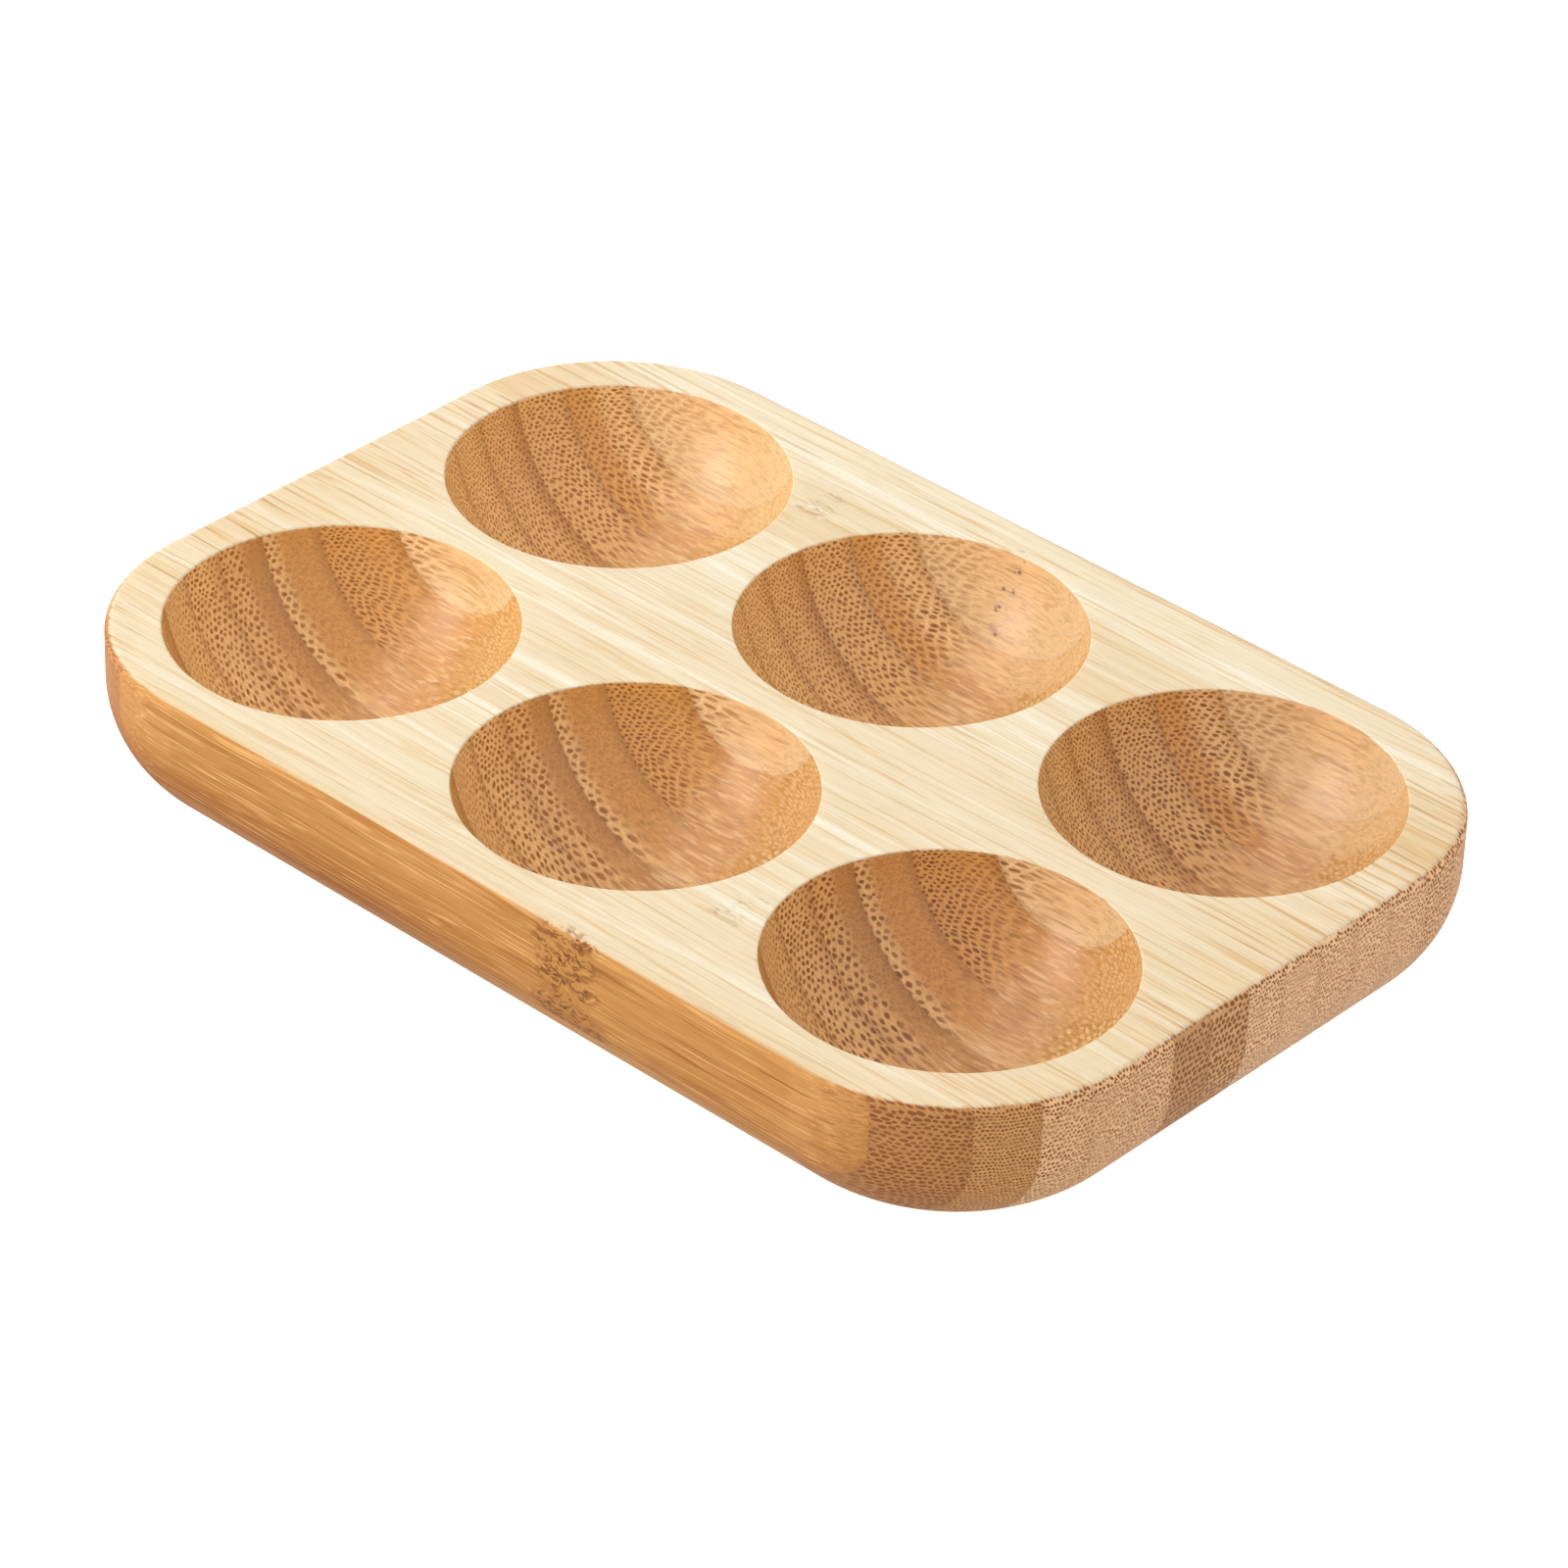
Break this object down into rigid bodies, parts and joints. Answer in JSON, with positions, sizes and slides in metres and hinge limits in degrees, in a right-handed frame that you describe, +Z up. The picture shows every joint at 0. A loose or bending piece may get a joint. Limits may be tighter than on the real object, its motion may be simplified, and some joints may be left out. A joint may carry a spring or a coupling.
{
  "type": "egg tray",
  "caption": "Low rectangular bamboo board with rounded corners and a rounded underside; bowl-shaped hollows in its top hold eggs upright for storing or serving.",
  "frame": {"origin": "under the middle of the tray, on the surface that it stands on", "axes": "+X along the strips and the long sides, +Y across the strips to the last one, +Z up out of the hollows"},
  "size_m": [0.18, 0.12, 0.025],
  "materials": {
    "honey_bamboo": "sanded bamboo, honey tan, thin satin oil",
    "caramel_bamboo": "sanded bamboo, caramel brown, thin satin oil",
    "straw_bamboo": "sanded bamboo, pale straw, thin satin oil"
  },
  "bodies": {
    "root": {"near_edge_strip": "honey_bamboo", "bamboo_strip_01": "caramel_bamboo", "bamboo_strip_02": "straw_bamboo", "bamboo_strip_03": "honey_bamboo", "bamboo_strip_04": "caramel_bamboo", "bamboo_strip_05": "straw_bamboo", "bamboo_strip_06": "honey_bamboo", "bamboo_strip_07": "caramel_bamboo", "bamboo_strip_08": "straw_bamboo", "bamboo_strip_09": "honey_bamboo", "bamboo_strip_10": "caramel_bamboo", "bamboo_strip_11": "straw_bamboo", "bamboo_strip_12": "honey_bamboo", "bamboo_strip_13": "caramel_bamboo", "bamboo_strip_14": "straw_bamboo", "bamboo_strip_15": "honey_bamboo", "far_edge_strip": "caramel_bamboo"}
  },
  "joints": []
}
